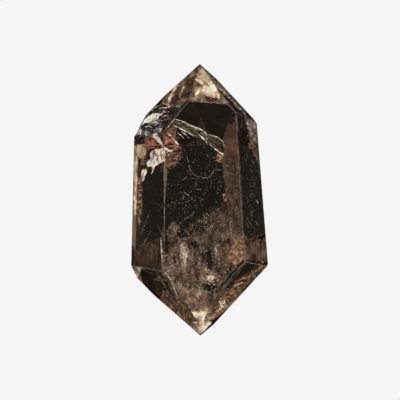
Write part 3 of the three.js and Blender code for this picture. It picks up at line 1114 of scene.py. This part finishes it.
# Pale flecks of the veil, made brighter by painted glints: their glow stands in for flakes catching the
# lamps.
PALE_FLECKS_AND_GLINTS = fleck_finish("pale_flecks_and_glints", srgb(90, 72, 58), srgb(176, 156, 134), srgb(250, 240, 226), 1.0)
CLUSTER = [
    (-5.6, -10.6), (-4.2, -11.1), (-3.2, -12.7), (-2.5, -15.1), (-3, -17.8), (-4.8, -18.3),
    (-5.4, -14.8),
]
CLOUDLET = [(1.3, -18), (4, -18.6), (4.8, -21.2), (3.2, -23.3), (1.1, -21.7)]
scatter("bright_veil", [CLUSTER, CLOUDLET], SPLINTER, PALE_FLECKS_AND_GLINTS, depth=0.3, spread=1,
        density=26, clumps=1.0, size=(0.15, 0.6), swing=1.2, seed=21)
scatter("bright_needles", [CLUSTER], NEEDLE, PALE_FLECKS_AND_GLINTS, depth=0.5, spread=1,
        density=18, clumps=1.2, size=(0.3, 1.1), swing=0.6, seed=22)
scatter("sparkles", [WHOLE_FRONT, RIGHT_SIDE], SPLINTER, PALE_FLECKS_AND_GLINTS, depth=0.3, spread=3,
        density=1.6, clumps=2.5, size=(0.12, 0.4), swing=ANY_WAY, seed=31)
STRIP = [(7.7, 22.3), (9.3, 22.8), (10.3, 10.6), (11.4, -9.5), (7.4, -9.5), (6.6, 8), (6.6, 15.9)]
scatter("strip_dust", [STRIP], SPLINTER, TAN, depth=0.3, spread=2,
        density=16, clumps=2, size=(0.12, 0.4), swing=ANY_WAY, seed=23)
scatter("stain_dust", [STAINED], SPLINTER, RUSTY, depth=0.25, spread=0.3,
        density=22, clumps=1.0, size=(0.15, 0.55), swing=ANY_WAY, seed=12)

# The floor: a plain pale sheet of light under the crystal and behind it. Only the camera sees
# it, so the crystal stays as dark as it looks against a black card.
FLOOR_SIZE = 4.0
FLOOR_DROP = 0.01 * MM
PALE = 0.913

bpy.ops.mesh.primitive_plane_add(size=FLOOR_SIZE)
floor = bpy.context.object
floor.name = "pale_floor"
for corner in floor.data.vertices:
    corner.co.z = -FLOOR_DROP
floor_material, floor_tree, floor_shader = new_material("pale_floor")
floor_shader.inputs["Base Color"].default_value = (0, 0, 0, 1)
floor_shader.inputs["Specular IOR Level"].default_value = 0
floor_shader.inputs["Emission Color"].default_value = (PALE, PALE, PALE, 1)
floor_shader.inputs["Emission Strength"].default_value = 1
floor.data.materials.append(floor_material)

# The backdrop: the same pale light all round, so that every view has a plain pale ground.
BACKDROP_RADIUS = 1.9
BACKDROP_SIDES = 48
BACKDROP_RINGS = 24

backdrop_mesh = bpy.data.meshes.new("pale_backdrop")
dome = bmesh.new()
bmesh.ops.create_uvsphere(
    dome, u_segments=BACKDROP_SIDES, v_segments=BACKDROP_RINGS, radius=BACKDROP_RADIUS
)
buried = [vertex for vertex in dome.verts if vertex.co.z < -MM]
bmesh.ops.delete(dome, geom=buried, context="VERTS")
bmesh.ops.reverse_faces(dome, faces=dome.faces)
dome.to_mesh(backdrop_mesh)
dome.free()
backdrop = add_piece("pale_backdrop", backdrop_mesh, floor_material)
for stage_piece in (floor, backdrop):
    stage_piece.visible_glossy = False
    stage_piece.visible_transmission = False
    stage_piece.visible_diffuse = False
    stage_piece.visible_shadow = False

# The light: a dim room with a few broad soft lights round the crystal, a dark card over the
# camera and near darkness below.
world = bpy.data.worlds.new("studio")
world.use_nodes = True
scene.world = world
sky = world.node_tree.nodes
sky_link = world.node_tree.links.new
direction = sky.new("ShaderNodeTexCoord").outputs["Generated"]
split = sky.new("ShaderNodeSeparateXYZ")
sky_link(direction, split.inputs[0])

def sky_math(operation, first, second):
    node = sky.new("ShaderNodeMath")
    node.operation = operation
    for socket, value in zip(node.inputs, (first, second)):
        if isinstance(value, (int, float)):
            socket.default_value = value
        else:
            sky_link(value, socket)
    return node.outputs[0]

# Where each broad light is, in degrees: round from +X toward +Y, and up from level. Then half
# its spread in degrees, and how bright it is.
SOFT_LIGHTS = [
    (180, 72, 20, 0.9),
    (30, 30, 55, 0.5),
    (60, 30, 35, 0.2),
    (150, 15, 35, 0.77),
    (240, 45, 55, 0.33),
    (270, 15, 20, 0.15),
    (270, 0, 20, 0.3),
]
LAMP_TINT = (1.03, 1, 0.91)
ROOM = 0.03
BELOW = 0.018
DARK_CARD_EDGE = math.radians(14)
DARK_CARD_MIDDLE = math.radians(8)

def sky_fade(value, low, high, strength):
    fade = sky.new("ShaderNodeMapRange")
    fade.interpolation_type = "SMOOTHSTEP"
    fade.inputs["From Min"].default_value = low
    fade.inputs["From Max"].default_value = high
    fade.inputs["To Min"].default_value = 0
    fade.inputs["To Max"].default_value = strength
    sky_link(value, fade.inputs["Value"])
    return fade.outputs[0]

height = split.outputs["Z"]
brightness = ROOM
for around, up, spread, strength in SOFT_LIGHTS:
    a = math.radians(around)
    u = math.radians(up)
    toward = Vector((math.cos(a) * math.cos(u), math.sin(a) * math.cos(u), math.sin(u)))
    dot = sky.new("ShaderNodeVectorMath")
    dot.operation = "DOT_PRODUCT"
    sky_link(direction, dot.inputs[0])
    dot.inputs[1].default_value = toward
    light = sky_fade(dot.outputs["Value"], math.cos(math.radians(spread)), 1, strength)
    brightness = sky_math("ADD", brightness, light)
overhead = sky_fade(height, math.cos(DARK_CARD_EDGE), math.cos(DARK_CARD_MIDDLE), 1)
above = sky_math("SUBTRACT", sky_math("GREATER_THAN", height, 0), overhead)
brightness = sky_math("ADD", sky_math("MULTIPLY", brightness, above), BELOW)
warmed = sky.new("ShaderNodeVectorMath")
warmed.operation = "MULTIPLY"
sky_link(brightness, warmed.inputs[0])
warmed.inputs[1].default_value = LAMP_TINT
sky_link(warmed.outputs[0], sky["Background"].inputs["Color"])

scene.view_settings.view_transform = "Standard"
DEEP_BOUNCES = 24
scene.cycles.max_bounces = DEEP_BOUNCES
scene.cycles.glossy_bounces = DEEP_BOUNCES
scene.cycles.transmission_bounces = DEEP_BOUNCES
scene.cycles.transparent_max_bounces = DEEP_BOUNCES
